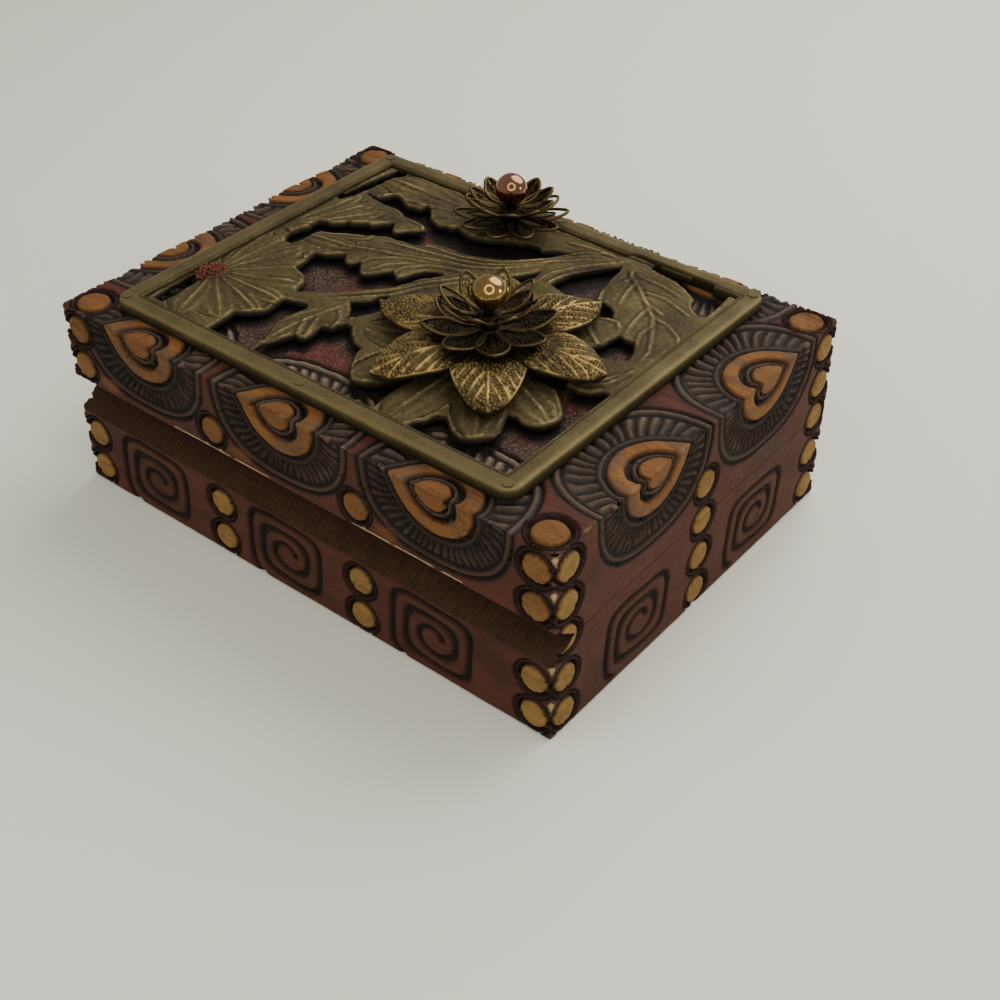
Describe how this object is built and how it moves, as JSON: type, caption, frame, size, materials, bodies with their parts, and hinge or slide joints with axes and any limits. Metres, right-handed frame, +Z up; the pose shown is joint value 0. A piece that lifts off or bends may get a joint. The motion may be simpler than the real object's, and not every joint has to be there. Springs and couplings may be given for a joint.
{
  "type": "keepsake box",
  "caption": "Rectangular carved wooden keepsake box with a back-hinged lid, a finger groove along the front and an openwork metal overlay with raised layered flowers on the lid.",
  "frame": {"origin": "middle of the box's underside, on the surface it stands on", "axes": "+X along the long side, -Y towards the front with the finger groove, +Z up"},
  "size_m": [0.15, 0.1142, 0.0731],
  "materials": {
    "carved_wood": "satin",
    "plain_wood": "satin",
    "overlay_metal": "antique",
    "petal_metal": "antique",
    "bead_metal": "polished",
    "hinge_brass": "satin"
  },
  "bodies": {
    "base": {"base_front": "carved_wood", "base_back": "carved_wood", "base_left": "carved_wood", "base_right": "carved_wood", "base_floor": "plain_wood", "hinge_left_base_leaf": "hinge_brass", "hinge_right_base_leaf": "hinge_brass", "hinge_left_pin": "hinge_brass", "hinge_right_pin": "hinge_brass", "base_hinge_screws": "hinge_brass"},
    "lid": {"lid_top": "carved_wood", "lid_front": "carved_wood", "lid_back": "carved_wood", "lid_left": "carved_wood", "lid_right": "carved_wood", "hinge_left_lid_leaf": "hinge_brass", "hinge_right_lid_leaf": "hinge_brass", "lid_hinge_screws": "hinge_brass", "overlay_plate": "overlay_metal", "overlay_pins": "overlay_metal", "large_flower_petals": "petal_metal", "large_flower_star": "petal_metal", "large_flower_cup": "petal_metal", "large_flower_bead": "bead_metal", "large_flower_rivet": "petal_metal", "small_flower_star": "petal_metal", "small_flower_cup": "petal_metal", "small_flower_bead": "bead_metal", "small_flower_rivet": "petal_metal"}
  },
  "joints": [
    {"name": "lid_hinge", "type": "hinge", "parent": "base", "child": "lid", "pos_m": [0, 0.05675, 0.0265], "axis": [-1, 0, 0], "range_deg": [0, 145]}
  ]
}
